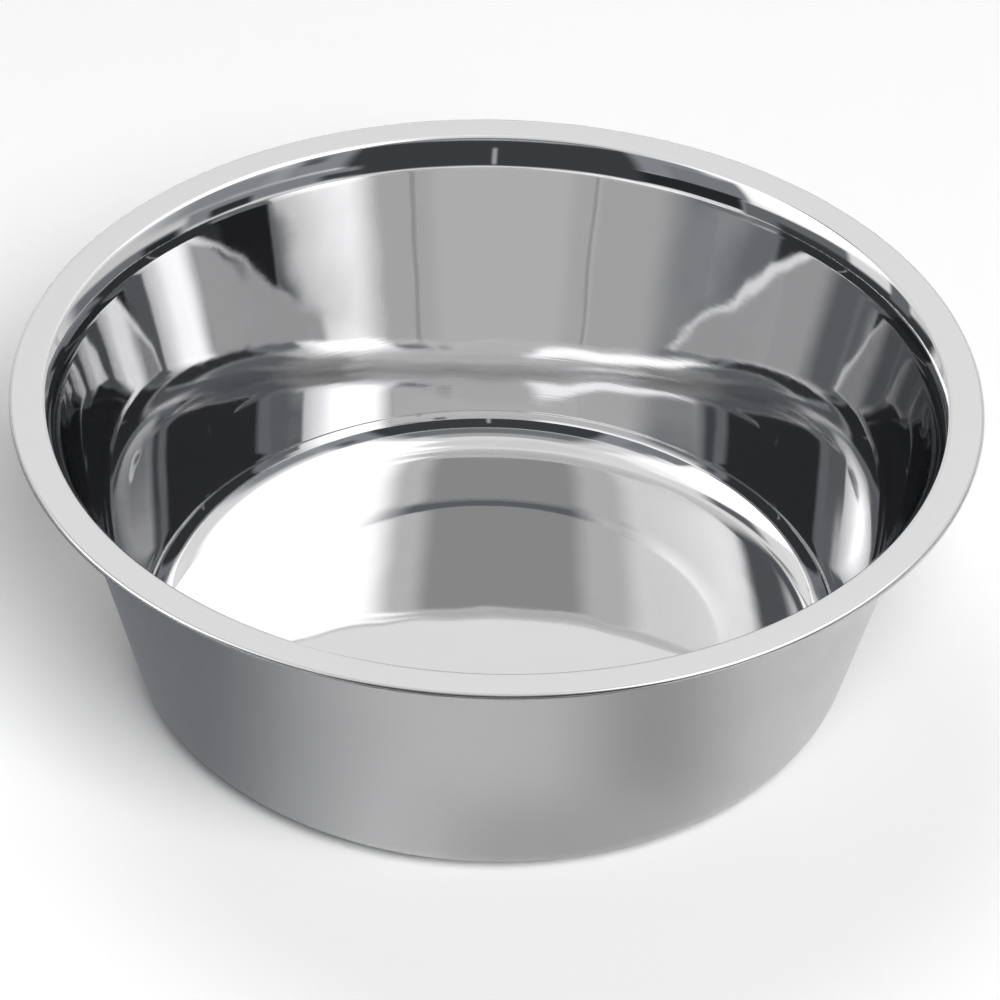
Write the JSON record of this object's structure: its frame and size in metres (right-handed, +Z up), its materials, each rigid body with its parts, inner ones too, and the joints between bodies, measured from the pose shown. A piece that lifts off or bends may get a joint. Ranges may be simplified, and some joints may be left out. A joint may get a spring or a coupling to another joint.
{
  "type": "pet food bowl",
  "caption": "Round one-piece stainless steel dog bowl with a flat base raised slightly in the middle, a flared wall, polished inside and a flat satin rim with a folded edge.",
  "frame": {"origin": "on the axis, at the level of the surface that the bowl stands on", "axes": "+Z up along the bowl's axis, out of its mouth; X and Y are alike because the bowl is round"},
  "size_m": [0.21, 0.21, 0.071],
  "materials": {
    "steel": "mirror-polished inside, satin on the rim and the outside"
  },
  "bodies": {
    "root": {"bowl": "steel"}
  },
  "joints": []
}
